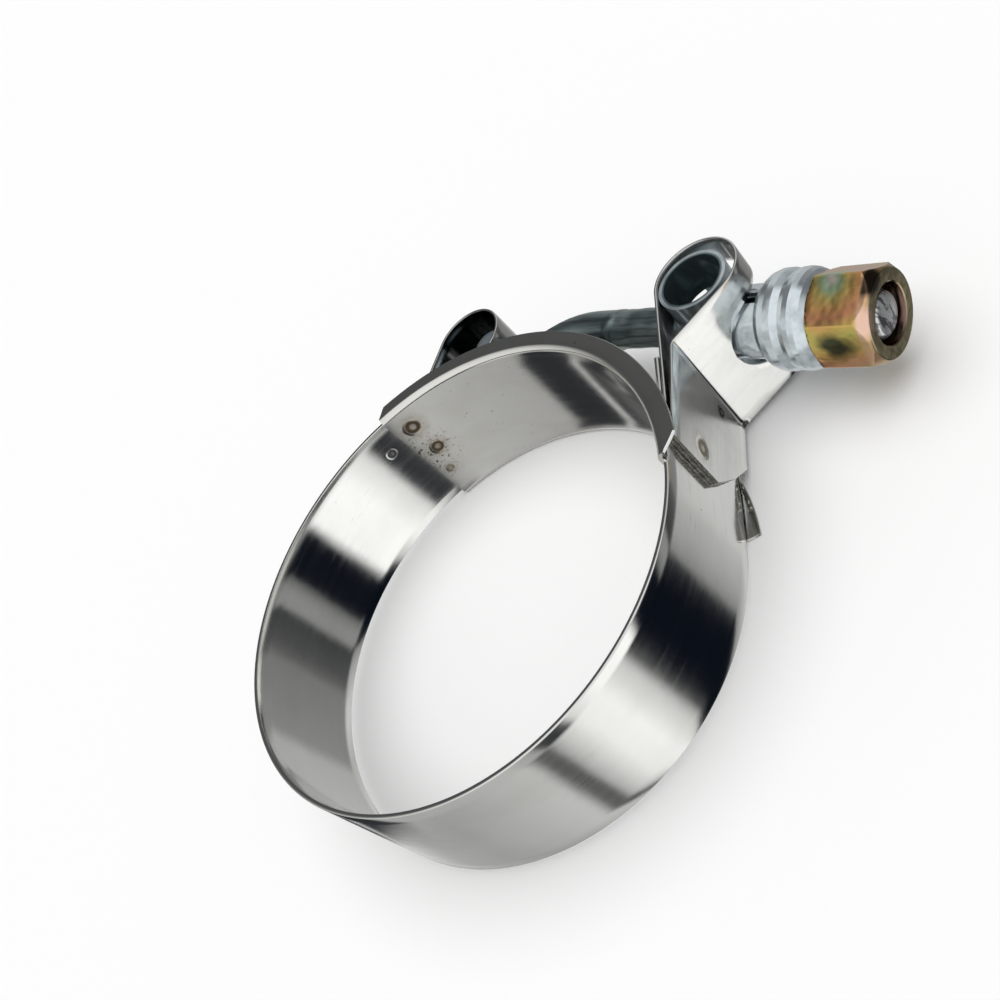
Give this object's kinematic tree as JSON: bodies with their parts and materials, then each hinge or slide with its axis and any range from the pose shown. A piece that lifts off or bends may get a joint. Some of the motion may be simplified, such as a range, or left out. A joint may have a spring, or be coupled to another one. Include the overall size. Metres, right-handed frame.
{
  "type": "t-bolt hose clamp",
  "caption": "Band clamp with a bridge shoe under its gap and a bent T-bolt that draws the band's two strap loops together through a trunnion and nut.",
  "frame": {"origin": "centre of the clamp's bore, half way along the band's width", "axes": "+Z along the bore, +X along the bolt towards the nut, +Y from the bore's centre towards the bolt"},
  "size_m": [0.0765, 0.0824, 0.0208],
  "materials": {
    "band_steel": "bright rolled stainless steel with fine lines along the band",
    "bridge_steel": "satin stainless steel with weld marks",
    "strap_steel": "bright rolled stainless steel with weld marks and sheared ends",
    "bolt_zinc": "blue-grey zinc plating with dull forming lines",
    "trunnion_zinc": "blue-grey zinc plating on pressed steel",
    "nut_chromate": "yellow chromate over zinc with pink and green tints"
  },
  "bodies": {
    "ring": {"band": "band_steel", "bridge": "bridge_steel", "nut_side_loop": "strap_steel", "head_side_loop": "strap_steel"},
    "bolt": {"t_bolt": "bolt_zinc"},
    "barrel": {"trunnion": "trunnion_zinc"},
    "lock_nut": {"nut": "nut_chromate"}
  },
  "joints": [
    {"name": "bolt_pivot", "type": "hinge", "parent": "ring", "child": "bolt", "pos_m": [-0.01469, 0.03592, 0], "axis": [0, 0, 1], "range_deg": [0, 1]},
    {"name": "trunnion_travel", "type": "slide", "parent": "bolt", "child": "barrel", "axis": [1, 0, 0], "range_m": [0, 0.00091]},
    {"name": "nut_turn", "type": "hinge", "parent": "barrel", "child": "lock_nut", "pos_m": [0.0392, 0.0426, 0], "axis": [1, 0, 0], "range_deg": [0, 360]}
  ],
  "couplings": [
    {"joint": "trunnion_travel", "follows": "nut_turn", "m_per_rad": 0.00014435}
  ]
}
